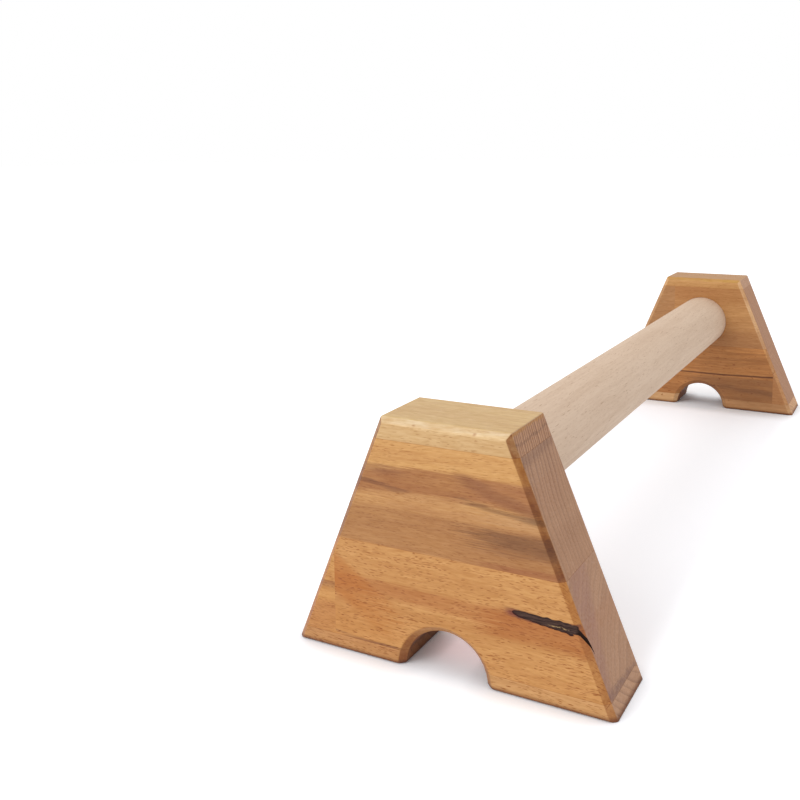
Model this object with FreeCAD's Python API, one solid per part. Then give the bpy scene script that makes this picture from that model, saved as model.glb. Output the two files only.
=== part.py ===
import FreeCAD, Part
import math
import os

os.makedirs("parts", exist_ok=True)

# A wooden parallette bar: a round bar glued and screwed between two trapezoid end blocks.
# All sizes are in millimetres.
# The origin is the middle of the footprint on the floor, with X across and Z up.
# Y runs along the bar, from the front block to the rear block.

# whole object
OVERALL_LENGTH = 530.0
HALF_LENGTH = OVERALL_LENGTH / 2

# end blocks, sawn from an edge-glued beech panel
BLOCK_THICKNESS = 40.0
BLOCK_HEIGHT = 110.0
BLOCK_BASE_WIDTH = 150.0
BLOCK_TOP_WIDTH = 60.0
EDGE_CHAMFER = 2.5
FOOT_CHAMFER = 1.0
ARCH_RADIUS = 19.0
ARCH_CHAMFER = 3.0

# glue lines between the panel's staves, as heights above the floor
FRONT_SEAM_BOTTOM = 7.0
FRONT_SEAM_MIDDLE = 53.0
FRONT_SEAM_TOP = 100.5
REAR_SEAM_BOTTOM = 8.5
REAR_SEAM_MIDDLE = 53.5
REAR_SEAM_TOP = 102.5

# finger joints, where a stave is made up from two lengths
FINGER_PITCH = 4.0
FINGER_LENGTH = 10.0
FRONT_LOWER_JOINT_X = -54.0
REAR_LOWER_JOINT_X = 59.0
REAR_UPPER_JOINT_X = -22.6

# grip bar, half of a one metre beech dowel
BAR_DIAMETER = 40.0
BAR_LENGTH = 500.0
BAR_AXIS_HEIGHT = 74.0
SOCKET_DEPTH = (BAR_LENGTH - (OVERALL_LENGTH - 2 * BLOCK_THICKNESS)) / 2

# lock screws, driven up from the crown of each arch into the bar
SCREW_DIAMETER = 5.0
SCREW_LENGTH = 60.0
SCREW_HEAD_DIAMETER = 10.0
SCREW_HEAD_RIM = 0.6
SCREW_TIP_LENGTH = 5.0
SCREW_TIP_RADIUS = 0.3
SCREW_SINK = 0.8
SCREW_DRIVE_DIAMETER = 3.2
SCREW_LOBE_DIAMETER = 1.2
SCREW_LOBE_COUNT = 6
SCREW_DRIVE_DEPTH = 2.4

ALONG = FreeCAD.Vector(0, 1, 0)
REACH = 400.0


def vec(x, y, z):
    return FreeCAD.Vector(x, y, z)


def prism(points, sweep):
    wire = Part.makePolygon(points + [points[0]])
    return Part.Face(wire).extrude(sweep)


def slab(z_low, z_high):
    return Part.makeBox(2 * REACH, 4 * REACH, z_high - z_low, vec(-REACH, -2 * REACH, z_low))


def outline():
    half_base = BLOCK_BASE_WIDTH / 2
    half_top = BLOCK_TOP_WIDTH / 2
    return [(-half_base, 0.0), (half_base, 0.0), (half_top, BLOCK_HEIGHT), (-half_top, BLOCK_HEIGHT)]


def edge_cutter(start, end, depth, size):
    # triangular bar that takes the arris off one straight edge of a block's face
    along = end - start
    along.normalize()
    inward = vec(-along.z, 0, along.x)
    into = vec(0, depth, 0)
    spare = 3.0
    corner = start - along * REACH / 4
    tip_a = corner + inward * (size + spare) - into * spare
    tip_b = corner - inward * spare + into * (size + spare)
    tip_c = corner - inward * spare - into * spare
    sweep = along * ((end - start).Length + REACH / 2)
    return prism([tip_a, tip_b, tip_c], sweep)


def arch_cutter(face_y, depth):
    # cone that takes the arris off the arch at one face
    spare = 1.0
    base = vec(0, face_y - depth * spare, 0)
    return Part.makeCone(
        ARCH_RADIUS + ARCH_CHAMFER + spare,
        ARCH_RADIUS,
        ARCH_CHAMFER + spare,
        base,
        vec(0, depth, 0),
    )


def whole_block(y_low):
    # the finished block in one piece, before it is divided along its glue lines
    y_high = y_low + BLOCK_THICKNESS
    corners = [vec(x, y_low, z) for x, z in outline()]
    block = prism(corners, vec(0, BLOCK_THICKNESS, 0))
    block = block.cut(Part.makeCylinder(ARCH_RADIUS, BLOCK_THICKNESS, vec(0, y_low, 0), ALONG))
    for face_y, depth in ((y_low, 1.0), (y_high, -1.0)):
        ring = [vec(x, face_y, z) for x, z in outline()]
        for number, start in enumerate(ring):
            end = ring[(number + 1) % len(ring)]
            size = FOOT_CHAMFER if number == 0 else EDGE_CHAMFER
            block = block.cut(edge_cutter(start, end, depth, size))
        block = block.cut(arch_cutter(face_y, depth))
    return block


def finger_region(line_x, reach_x, tip_x, y_low):
    # everything beyond a finger joint: straight on both faces, zigzag through the thickness
    count = int(BLOCK_THICKNESS / FINGER_PITCH)
    half = FINGER_PITCH / 2
    points = [vec(reach_x, y_low - 1, 0), vec(line_x, y_low - 1, 0)]
    for finger in range(count):
        y_start = y_low + finger * FINGER_PITCH
        points.append(vec(line_x, y_start, 0))
        points.append(vec(tip_x, y_start + half, 0))
    points.append(vec(line_x, y_low + BLOCK_THICKNESS, 0))
    points.append(vec(line_x, y_low + BLOCK_THICKNESS + 1, 0))
    points.append(vec(reach_x, y_low + BLOCK_THICKNESS + 1, 0))
    return prism(points, vec(0, 0, BLOCK_HEIGHT))


def screw_solid(y_mid):
    # countersunk wood screw standing on its head, thread drawn at its outside diameter
    head_z = ARCH_RADIUS + SCREW_SINK
    cone_height = (SCREW_HEAD_DIAMETER - SCREW_DIAMETER) / 2
    rim = Part.makeCylinder(SCREW_HEAD_DIAMETER / 2, SCREW_HEAD_RIM, vec(0, y_mid, head_z))
    cone = Part.makeCone(
        SCREW_HEAD_DIAMETER / 2,
        SCREW_DIAMETER / 2,
        cone_height,
        vec(0, y_mid, head_z + SCREW_HEAD_RIM),
    )
    shank_low = head_z + SCREW_HEAD_RIM + cone_height
    shank_high = head_z + SCREW_LENGTH - SCREW_TIP_LENGTH
    shank = Part.makeCylinder(SCREW_DIAMETER / 2, shank_high - shank_low, vec(0, y_mid, shank_low))
    tip = Part.makeCone(SCREW_DIAMETER / 2, SCREW_TIP_RADIUS, SCREW_TIP_LENGTH, vec(0, y_mid, shank_high))
    return rim.fuse([cone, shank, tip]).removeSplitter()


def screw_hole(y_mid):
    # the screw's own outline, opened downwards by a shallow round recess in the arch
    bottom = ARCH_RADIUS / 2
    depth = ARCH_RADIUS + SCREW_SINK - bottom
    recess = Part.makeCylinder(SCREW_HEAD_DIAMETER / 2, depth, vec(0, y_mid, bottom))
    return recess.fuse(screw_solid(y_mid))


def screw_drive(y_mid):
    # six-lobed socket in the head
    bottom = ARCH_RADIUS + SCREW_SINK
    socket = Part.makeCylinder(SCREW_DRIVE_DIAMETER / 2, SCREW_DRIVE_DEPTH, vec(0, y_mid, bottom))
    lobes = []
    for number in range(SCREW_LOBE_COUNT):
        angle = 2 * math.pi * number / SCREW_LOBE_COUNT
        centre_x = SCREW_DRIVE_DIAMETER / 2 * math.cos(angle)
        centre_y = y_mid + SCREW_DRIVE_DIAMETER / 2 * math.sin(angle)
        lobe = Part.makeCylinder(SCREW_LOBE_DIAMETER / 2, SCREW_DRIVE_DEPTH, vec(centre_x, centre_y, bottom))
        lobes.append(lobe)
    return socket.fuse(lobes).removeSplitter()


def export(shape, name):
    solids = shape.Solids
    if len(solids) != 1:
        raise ValueError(name + " has " + str(len(solids)) + " solids")
    solid = solids[0]
    if not solid.isValid():
        raise ValueError(name + " is not valid")
    solid.exportStep("parts/" + name + ".step")


def side_solid(shape, sign):
    # the one of two separate solids that stands on the given side of X
    for solid in shape.Solids:
        if solid.CenterOfMass.x * sign > 0:
            return solid
    raise ValueError("no solid on that side")


# grip bar
bar = Part.makeCylinder(BAR_DIAMETER / 2, BAR_LENGTH, vec(0, -BAR_LENGTH / 2, BAR_AXIS_HEIGHT), ALONG)

# both end blocks, divided into their staves
blocks = {
    "front_block": {
        "y_low": -HALF_LENGTH,
        "inner_sign": 1.0,
        "seams": (FRONT_SEAM_BOTTOM, FRONT_SEAM_MIDDLE, FRONT_SEAM_TOP),
        "lower_joint": FRONT_LOWER_JOINT_X,
        "upper_joint": None,
    },
    "rear_block": {
        "y_low": HALF_LENGTH - BLOCK_THICKNESS,
        "inner_sign": -1.0,
        "seams": (REAR_SEAM_BOTTOM, REAR_SEAM_MIDDLE, REAR_SEAM_TOP),
        "lower_joint": REAR_LOWER_JOINT_X,
        "upper_joint": REAR_UPPER_JOINT_X,
    },
}

for block_name, plan in blocks.items():
    y_low = plan["y_low"]
    seam_bottom, seam_middle, seam_top = plan["seams"]
    y_inner = y_low + BLOCK_THICKNESS if plan["inner_sign"] > 0 else y_low
    screw_y = y_inner - plan["inner_sign"] * SOCKET_DEPTH / 2
    block = whole_block(y_low)
    block = block.cut(bar).cut(screw_hole(screw_y))

    export(block.common(slab(seam_top, BLOCK_HEIGHT + 1)), block_name + "_top_stave")

    upper = block.common(slab(seam_middle, seam_top))
    if plan["upper_joint"] is not None:
        line_x = plan["upper_joint"]
        side = math.copysign(1.0, line_x)
        beyond = finger_region(line_x, side * REACH, line_x + side * FINGER_LENGTH, y_low)
        export(upper.common(beyond), block_name + "_upper_stave_end")
        upper = upper.cut(beyond)
    export(upper, block_name + "_upper_stave")

    lower = block.common(slab(seam_bottom, seam_middle))
    line_x = plan["lower_joint"]
    side = math.copysign(1.0, line_x)
    beyond = finger_region(line_x, side * REACH, line_x - side * FINGER_LENGTH, y_low)
    export(lower.common(beyond), block_name + "_lower_stave_end")
    export(lower.cut(beyond), block_name + "_lower_stave")

    feet = block.common(slab(-1, seam_bottom))
    export(side_solid(feet, -1), block_name + "_left_foot")
    export(side_solid(feet, 1), block_name + "_right_foot")

    screw = screw_solid(screw_y)
    bar = bar.cut(screw)
    export(screw.cut(screw_drive(screw_y)), block_name + "_lock_screw")

export(bar, "grip_bar")
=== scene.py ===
import math
from dataclasses import dataclass, field
from functools import reduce

import bmesh
import bpy
from bpy.props import EnumProperty, FloatProperty, FloatVectorProperty, IntProperty, PointerProperty
from mathutils import Matrix, Vector, noise


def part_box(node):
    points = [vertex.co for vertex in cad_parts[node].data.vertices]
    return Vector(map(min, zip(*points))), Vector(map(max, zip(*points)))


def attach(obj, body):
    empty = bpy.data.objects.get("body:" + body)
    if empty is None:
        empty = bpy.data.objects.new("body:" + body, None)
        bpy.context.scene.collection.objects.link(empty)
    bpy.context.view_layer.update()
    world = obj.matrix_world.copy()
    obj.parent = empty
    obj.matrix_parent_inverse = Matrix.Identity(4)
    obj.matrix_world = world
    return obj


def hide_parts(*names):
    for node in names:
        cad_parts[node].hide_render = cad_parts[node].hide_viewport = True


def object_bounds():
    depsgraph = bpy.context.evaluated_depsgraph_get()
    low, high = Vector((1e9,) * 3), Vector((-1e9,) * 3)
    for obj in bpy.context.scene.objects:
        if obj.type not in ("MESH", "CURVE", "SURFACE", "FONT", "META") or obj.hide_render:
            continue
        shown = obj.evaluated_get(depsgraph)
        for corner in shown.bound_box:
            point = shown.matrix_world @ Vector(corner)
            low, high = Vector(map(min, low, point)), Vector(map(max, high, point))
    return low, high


bl_info = {
    "name": "Parallette Bar",
    "version": (1, 0, 0),
    "blender": (4, 5, 0),
    "location": "3D View > Sidebar > Parallette",
    "description": "Builds a beech parallette bar around its packed solids",
    "category": "Add Mesh",
}

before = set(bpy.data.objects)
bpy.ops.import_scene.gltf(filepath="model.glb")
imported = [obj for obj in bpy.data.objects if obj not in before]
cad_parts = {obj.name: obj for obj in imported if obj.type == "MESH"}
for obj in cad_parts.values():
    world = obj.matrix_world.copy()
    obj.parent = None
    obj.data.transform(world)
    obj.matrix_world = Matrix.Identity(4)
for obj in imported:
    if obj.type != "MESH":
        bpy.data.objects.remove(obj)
CAD_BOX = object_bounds()
MM = 0.001
PER_MM = (1 / MM, 1 / MM, 1 / MM)
WELD = 0.002 * MM
UP = Vector((0, 0, 1))
ACROSS = Vector((1, 0, 0))
ALONG = Vector((0, 1, 0))


def tone(red, green, blue):
    """A screen colour, each channel from 0 to 255, made linear for a shader by the sRGB curve."""

    def linear(level):
        share = level / 255
        if share <= 0.04045:
            return share / 12.92
        return ((share + 0.055) / 1.055) ** 2.4

    return (linear(red), linear(green), linear(blue))


# settings


def length_setting(name, description, millimetres):
    return FloatProperty(name=name, description=description, default=millimetres * MM, unit="LENGTH")


def angle_setting(name, description, radians):
    return FloatProperty(name=name, description=description, default=radians, unit="ROTATION")


def share_setting(name, description, share):
    return FloatProperty(name=name, description=description, default=share, subtype="FACTOR")


def count_setting(name, description, count):
    return IntProperty(name=name, description=description, default=count)


def colour_setting(name, description, colour):
    return FloatVectorProperty(name=name, description=description, default=colour, subtype="COLOR")


class EndBlockSettings(bpy.types.PropertyGroup):
    """Sizes of the end blocks"""

    edge_chamfer: length_setting("Edge chamfer", "Width of the chamfer round both faces", 2.5)
    arch_chamfer: length_setting("Arch chamfer", "Width of the chamfer round the arch", 3)
    foot_chamfer: length_setting("Foot chamfer", "Width of the chamfer along the feet", 1)
    soft_edge: length_setting("Soft edge", "How far sanding has rounded each edge", 0.6)
    spring_soft: length_setting("Arch foot", "How far the feet of the arch are rounded", 2)
    soft_steps: count_setting("Soft steps", "Faces across a rounded edge", 4)
    arch_steps: count_setting("Arch steps", "Faces round the arch", 56)
    finger_pitch: length_setting("Finger pitch", "Width of one finger of a finger joint", 4)
    finger_length: length_setting("Finger length", "Length of the fingers in a finger joint", 10)
    socket_rim: length_setting("Socket rim", "Gap round the bar at the mouth of its socket", 0.12)
    socket_rim_depth: length_setting("Socket rim depth", "Depth of that gap", 1.5)


class GripBarSettings(bpy.types.PropertyGroup):
    """Sizes and colours of the grip bar"""

    end_chamfer: length_setting("End chamfer", "Chamfer on both hidden ends", 2)
    round_steps: count_setting("Round steps", "Faces round the bar", 128)
    light: colour_setting("Light wood", "Pale early wood", tone(221, 198, 175))
    deep: colour_setting("Deep wood", "Deeper streaks", tone(210, 185, 161))
    mottle: colour_setting("Mottle", "Tint of the soft mottling", tone(247, 244, 241))
    fleck: colour_setting("Fleck", "Tint of the ray flecks", tone(196, 172, 152))


class LockScrewSettings(bpy.types.PropertyGroup):
    """Sizes and colours of the lock screws"""

    head_rim: length_setting("Head rim", "Straight rim of the head", 0.6)
    shank_radius: length_setting("Shank radius", "Outside radius of the thread", 2.5)
    core_radius: length_setting("Core radius", "Radius under the thread", 1.75)
    tip_length: length_setting("Tip length", "Length of the point", 5)
    thread_pitch: length_setting("Thread pitch", "Height of one turn of the thread", 2.6)
    drive_radius: length_setting("Drive radius", "Radius between the lobes of the socket", 1.6)
    drive_depth: length_setting("Drive depth", "Depth of the six-lobed socket", 2.4)
    steel: colour_setting("Steel", "Yellow passivated steel", tone(190, 170, 120))
    steel_deep: colour_setting("Deep steel", "Darker marks in the steel", tone(150, 132, 92))


class WoodSettings(bpy.types.PropertyGroup):
    """Colours that all the staves of the blocks share"""

    end_grain: colour_setting("End grain", "Oiled end grain", tone(186, 146, 117))
    end_deep: colour_setting("Deep end grain", "Darker rings of the end grain", tone(176, 136, 108))
    end_ring: colour_setting("End ring", "Dark lines of the rings in end grain", tone(118, 83, 65))
    # the arch tint is partly the oil that the sawn end grain soaks up and partly painted shade inside the
    # arch
    sawn: colour_setting("Sawn arch", "Tint of the arch, which soaks up oil", tone(184, 150, 100))
    # the foot tint is a painted contact shade along the lowest edge of the feet
    foot: colour_setting("Foot", "Tint of the worn edge on the floor", tone(170, 142, 116))
    mottle: colour_setting("Mottle", "Tint of the soft mottling", tone(232, 220, 200))
    fleck: colour_setting("Fleck", "Tint of the ray flecks", tone(184, 132, 12))
    glue: colour_setting("Glue line", "Tint of the glue lines", tone(232, 216, 196))


class StageSettings(bpy.types.PropertyGroup):
    """Camera, floor and light"""

    lens: FloatProperty(name="Lens", description="Focal length", default=43.787, unit="CAMERA")
    sensor: FloatProperty(name="Sensor", description="Sensor width", default=36.0, unit="CAMERA")
    shift: share_setting("Shift", "Upward shift of the lens", -0.15)
    place: FloatVectorProperty(
        name="Camera place",
        description="Where the camera stands",
        default=(0.1752, -0.6101, 0.2224),
        unit="LENGTH",
    )
    heading: angle_setting("Heading", "Turn to the left of +Y", 0.51073)
    tilt: angle_setting("Tilt", "Look upwards", -0.13364)
    roll: angle_setting("Roll", "Turn about the line of sight", -0.01552)
    floor_size: length_setting("Floor size", "Side of the floor", 30000)
    floor_white: colour_setting("Floor", "Paper floor", tone(246, 250, 255))
    floor_lift: share_setting("Floor lift", "Plain white added to the floor as it is seen", 0.2)
    front_lift: share_setting("Front lift", "More white outside the footprint", 0.16)
    floor_reach: length_setting("Floor reach", "How far from the object that white fades", 12)
    rear_shade: length_setting("Rear shade", "How far before the object's back end the white fades", 64)
    rear_fade: length_setting("Rear fade", "Length over which that white fades", 22)
    rear_glow: length_setting("Rear glow", "How far under the rear arch white reaches from behind", 28)
    arch_glow: colour_setting("Arch glow", "Light off the wood under the front arch", (0.2, 0.102, 0.102))
    tent_colour: colour_setting("Tent colour", "Tint of the tent's light", (1.025, 0.995, 0.985))
    tent_level: FloatProperty(name="Tent level", description="Light from the tent all round", default=0.82)
    lamp_level: FloatProperty(name="Lamp level", description="Strength of the broad lamp", default=0.88)
    lamp_spread: angle_setting("Lamp spread", "How wide the broad lamp looks", math.radians(38))
    lamp_from: FloatVectorProperty(
        name="Lamp from", description="Direction towards the broad lamp", default=(-0.55, -0.9, 0.85)
    )


# wiring nodes


FLOAT = "NodeSocketFloat"
VECTOR = "NodeSocketVector"
WHOLE = "NodeSocketInt"
MATERIAL = "NodeSocketMaterial"
GEOMETRY = "NodeSocketGeometry"


class NodeBench:
    """Adds nodes to one tree and wires them together."""

    COLUMN = 190
    ROWS = 6

    def __init__(self, tree):
        self.tree = tree
        self.count = 0

    def node(self, kind, inputs=None, **settings):
        """A new node with these settings, and with values or links for the inputs named."""
        made = self.tree.nodes.new(kind)
        made.location = (self.COLUMN * (self.count // self.ROWS), -self.COLUMN * (self.count % self.ROWS))
        self.count += 1
        for name, value in settings.items():
            setattr(made, name, value)
        for key, value in (inputs or {}).items():
            self.feed(made.inputs[key], value)
        return made

    def feed(self, socket, value):
        """Link a socket to another one, or set it to a plain value."""
        if isinstance(value, bpy.types.NodeSocket):
            self.tree.links.new(value, socket)
            return
        if socket.type == "RGBA":
            value = (*value[:3], 1.0)
        socket.default_value = value

    def in_order(self, kind, values, **settings):
        """A node whose sockets take these values in their order."""
        made = self.node(kind, **settings)
        for socket, value in zip(made.inputs, values):
            self.feed(socket, value)
        return made

    def maths(self, operation, *values, clamp=False):
        """The result of a Math node."""
        return self.in_order("ShaderNodeMath", values, operation=operation, use_clamp=clamp).outputs[0]

    def times(self, *values):
        return reduce(lambda first, second: self.maths("MULTIPLY", first, second), values)

    def plus(self, *values):
        return reduce(lambda first, second: self.maths("ADD", first, second), values)

    def minus(self, first, second):
        return self.maths("SUBTRACT", first, second)

    def over(self, first, second):
        return self.maths("DIVIDE", first, second)

    def rest(self, share):
        """What a share leaves of the whole."""
        return self.maths("SUBTRACT", 1.0, share)

    def graded(self, value, slope, base):
        """A base with some of a value added to it."""
        return self.maths("MULTIPLY_ADD", value, slope, base)

    def vector(self, operation, *values):
        """The result of a Vector Math node, a value for a length."""
        made = self.in_order("ShaderNodeVectorMath", values, operation=operation)
        return made.outputs["Value" if operation == "LENGTH" else "Vector"]

    def stretch(self, vector, scale):
        return self.vector("MULTIPLY", vector, scale)

    def shift(self, vector, offset):
        return self.vector("ADD", vector, offset)

    def split(self, vector):
        return self.node("ShaderNodeSeparateXYZ", {"Vector": vector}).outputs

    def join(self, x, y, z):
        return self.node("ShaderNodeCombineXYZ", {"X": x, "Y": y, "Z": z}).outputs[0]

    def step(self, value, low, high):
        """Smooth rise from 0 at low to 1 at high, or a fall where high is the lower one."""
        if isinstance(low, (int, float)) and isinstance(high, (int, float)) and low > high:
            return self.rest(self.step(value, high, low))
        inputs = {"Value": value, "From Min": low, "From Max": high}
        return self.node("ShaderNodeMapRange", inputs, interpolation_type="SMOOTHSTEP").outputs[0]

    def noise(self, vector, detail=2.0, output="Fac"):
        """Noise from 0 to 1 with features one unit across."""
        inputs = {"Vector": vector, "Scale": 1.0, "Detail": detail}
        return self.node("ShaderNodeTexNoise", inputs).outputs[output]

    def lot(self, number, output):
        """A random value or colour for each whole number."""
        return self.node("ShaderNodeTexWhiteNoise", {"W": number}, noise_dimensions="1D").outputs[output]

    def blend(self, factor, first, second, how="MIX"):
        """Two colours mixed by a factor. Numbers pick the Mix node's colour sockets, whose names repeat."""
        made = self.node("ShaderNodeMix", {0: factor, 6: first, 7: second}, data_type="RGBA", blend_type=how)
        return made.outputs[2]

    def group(self, name, **inputs):
        """The outputs of an effect group."""
        made = self.node("ShaderNodeGroup", node_tree=bpy.data.node_groups[name])
        for key, value in inputs.items():
            self.feed(made.inputs[key], value)
        return made.outputs


def sockets(kind, *labels):
    """Several sockets of one kind."""
    return dict.fromkeys(labels, kind)


def label_of(name):
    """The label of a socket that takes a setting or a field: Run Out for run_out."""
    return name.replace("_", " ").title()


def new_group(kind, name, inputs, outputs):
    """A new node group with these named sockets, the bench to fill it on, and its ends."""
    tree = bpy.data.node_groups.new(name, kind)
    for side, ends in (("INPUT", inputs), ("OUTPUT", outputs)):
        for label, socket in ends.items():
            tree.interface.new_socket(label, in_out=side, socket_type=socket)
    bench = NodeBench(tree)
    return bench, bench.node("NodeGroupInput").outputs, bench.node("NodeGroupOutput").inputs


def shader_group(name, inputs, outputs):
    """A shader node group for an effect."""
    return new_group("ShaderNodeTree", name, inputs, outputs)


# effects that the woods share


def log_space_group():
    """Millimetre coordinates in the log that a piece was sawn from: along, around and out from the pith."""
    inputs = sockets(VECTOR, "Position", "Pith", "Lean") | sockets(FLOAT, "Girth", "Wave", "Seed")
    bench, given, put = shader_group("Log Space", inputs, sockets(VECTOR, "Log", "Place"))
    sway_scale = (0.012, 0.03, 0.03)
    place = bench.stretch(given["Position"], PER_MM)
    slow = bench.shift(bench.stretch(place, sway_scale), bench.join(given["Seed"], 0.0, 0.0))
    sway = bench.vector("SUBTRACT", bench.noise(slow, output="Color"), (0.5, 0.5, 0.5))
    sway = bench.stretch(sway, bench.join(0.0, given["Wave"], given["Wave"]))
    along = bench.split(place)["X"]
    centre = bench.shift(given["Pith"], bench.stretch(given["Lean"], bench.join(along, along, along)))
    out = bench.split(bench.vector("SUBTRACT", bench.shift(place, sway), centre))
    radius = bench.vector("LENGTH", bench.join(0.0, out["Y"], out["Z"]))
    angle = bench.maths("ARCTAN2", out["Z"], bench.maths("ABSOLUTE", out["Y"]))
    bench.feed(put["Log"], bench.join(along, bench.times(angle, given["Girth"]), radius))
    bench.feed(put["Place"], place)


def growth_rings_group():
    """Late wood that darkens to the outside of each ring, a thin line at its end and a shade per ring."""
    inputs = {"Log": VECTOR} | sockets(FLOAT, "Spacing", "Unrest", "Sharpness", "Seed")
    bench, given, put = shader_group("Growth Rings", inputs, sockets(FLOAT, "Late", "Line", "Shade"))
    drift_scale = (0.008, 0.04, 0.05)
    uneven_scale = 0.4
    uneven_reach = 2.0
    late_sharpness = 2.5
    late_end = 0.9
    line_end = 0.92
    spot = bench.shift(bench.stretch(given["Log"], drift_scale), bench.join(given["Seed"], 3.0, 7.0))
    drift = bench.times(bench.minus(bench.noise(spot, detail=4.0), 0.5), given["Unrest"])
    turns = bench.over(bench.plus(bench.split(given["Log"])["Z"], drift), given["Spacing"])
    uneven = bench.noise(bench.join(bench.times(turns, uneven_scale), given["Seed"], 0.0))
    turns = bench.graded(uneven, uneven_reach, turns)
    phase = bench.maths("FRACT", turns)
    late = bench.times(bench.maths("POWER", phase, late_sharpness), bench.step(phase, 1.0, late_end))
    line = bench.times(bench.maths("POWER", phase, given["Sharpness"]), bench.step(phase, 1.0, line_end))
    bench.feed(put["Late"], late)
    bench.feed(put["Line"], line)
    bench.feed(put["Shade"], bench.lot(bench.maths("FLOOR", turns), "Value"))


def ray_flecks_group():
    """Thin plates of ray tissue that run out from the pith: short dark dashes, gathered in loose clusters."""
    inputs = {"Log": VECTOR} | sockets(FLOAT, "Length", "Width", "Depth", "Share", "Seed")
    bench, given, put = shader_group("Ray Flecks", inputs, {"Fleck": FLOAT})
    shuffle_reach = (40.0, 40.0, 0.0)
    stagger_scale = (0.15, 0.6, 0.0)
    stagger_reach = 5.0
    plate_edge = (0.36, 0.18)
    cluster_scale = (0.04, 0.16, 0.05)
    cluster_edge = (0.3, 0.66)
    sparse = 0.3
    crowded = 1.5
    sure_part = 0.4
    least_share = 0.001
    seed = bench.join(given["Seed"], given["Seed"], 0.0)
    slab = bench.maths("FLOOR", bench.over(bench.split(given["Log"])["Z"], given["Depth"]))
    shuffle = bench.stretch(bench.lot(slab, "Color"), shuffle_reach)
    cells = bench.vector("DIVIDE", given["Log"], bench.join(given["Length"], given["Width"], given["Depth"]))
    cells = bench.shift(bench.shift(cells, seed), shuffle)
    stagger = bench.noise(bench.stretch(cells, stagger_scale))
    cells = bench.shift(cells, bench.join(bench.times(stagger, stagger_reach), 0.0, 0.0))
    inputs = {"Vector": cells, "Scale": 1.0, "Randomness": 0.95}
    found = bench.node("ShaderNodeTexVoronoi", inputs, voronoi_dimensions="2D").outputs
    plate = bench.step(found["Distance"], *plate_edge)
    spot = bench.shift(bench.stretch(given["Log"], cluster_scale), seed)
    crowd = bench.step(bench.noise(spot), *cluster_edge)
    share = bench.times(given["Share"], bench.graded(crowd, crowded - sparse, sparse))
    share = bench.plus(share, least_share)
    ticket = bench.split(found["Color"])["X"]
    chosen = bench.rest(bench.step(ticket, bench.times(share, sure_part), share))
    bench.feed(put["Fleck"], bench.times(plate, chosen))


def fibre_group():
    """Fine fibres, streaks of several widths and soft mottling, all drawn out along the grain."""
    outputs = sockets(FLOAT, "Fibre", "Streak", "Mottle")
    bench, given, put = shader_group("Fibre", {"Log": VECTOR, "Seed": FLOAT}, outputs)
    shifted = bench.shift(given["Log"], bench.join(0.0, given["Seed"], given["Seed"]))

    def layer(along, across, detail=2.0):
        return bench.noise(bench.stretch(shifted, (along, across, across)), detail=detail)

    # broad, medium and narrow streaks: scale along and across the grain, and share
    streaks = ((0.008, 0.12, 0.45), (0.02, 0.6, 0.35), (0.08, 2.2, 0.2))
    streak_edge = (0.34, 0.66)
    streak = bench.plus(*[bench.times(layer(along, across), share) for along, across, share in streaks])
    bench.feed(put["Streak"], bench.step(streak, *streak_edge))

    # the finer effects: scale along and across the grain, and the levels between which they rise
    finer = {"Fibre": (0.14, 1.5, 0.3, 0.7), "Mottle": (0.24, 1.1, 0.25, 0.75)}
    for label, (along, across, low, high) in finer.items():
        bench.feed(put[label], bench.step(layer(along, across, detail=3.0), low, high))


# the fields of a stain that shape its band
STAIN_SHAPE = (
    "level", "slope", "bend", "dip", "upper", "lower",
    "start", "end", "run_out", "wander", "feather", "patch",
)


def stain_band_group():
    """A band of colour at a height, feathered along the grain and run out at both its ends: mostly heartwood,
    once a painted highlight.
    """
    labels = [label_of(name) for name in STAIN_SHAPE] + ["Face", "Half", "Seed"]
    inputs = {"Place": VECTOR} | sockets(FLOAT, *labels)
    bench, given, put = shader_group("Stain Band", inputs, {"Stain": FLOAT})
    wander_scale = (0.03, 0.04, 0.06)
    feather_scale = (0.035, 0.3, 0.5)
    barb_scale = (0.06, 0.8, 2.6)
    barb_size = 1.4
    cloud_scale = (0.03, 0.2, 0.35)
    cloud_edge = (0.375, 0.625)
    at = bench.split(given["Place"])
    seed = bench.join(given["Seed"], given["Seed"], given["Seed"])

    def patches(scale, detail=3.0):
        return bench.noise(bench.shift(bench.stretch(given["Place"], scale), seed), detail=detail)

    def around_zero(value, size):
        return bench.times(bench.minus(value, 0.5), size)

    wander = around_zero(patches(wander_scale), given["Wander"])
    feather = around_zero(patches(feather_scale, detail=2.0), given["Feather"])
    barbs = around_zero(patches(barb_scale), bench.times(given["Feather"], barb_size))
    tilt = bench.times(given["Slope"], at["X"])
    bow = bench.times(given["Bend"], bench.times(at["X"], at["X"]))
    sink = bench.times(given["Dip"], bench.minus(at["Y"], given["Face"]))
    line = bench.plus(given["Level"], tilt, bow, sink, wander)
    height = bench.plus(bench.minus(at["Z"], line), bench.plus(feather, barbs))
    above = bench.minus(height, given["Half"])
    below = bench.minus(bench.times(height, -1.0), given["Half"])
    high = bench.rest(bench.step(above, 0.0, given["Upper"]))
    low = bench.rest(bench.step(below, 0.0, given["Lower"]))
    spread = bench.plus(at["X"], bench.times(barbs, given["Run Out"]))
    rise = bench.step(spread, given["Start"], bench.plus(given["Start"], given["Run Out"]))
    fall = bench.rest(bench.step(spread, bench.minus(given["End"], given["Run Out"]), given["End"]))
    cloud = bench.step(patches(cloud_scale), *cloud_edge)
    cover = bench.rest(bench.times(cloud, given["Patch"]))
    bench.feed(put["Stain"], bench.times(high, low, rise, fall, cover))


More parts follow.
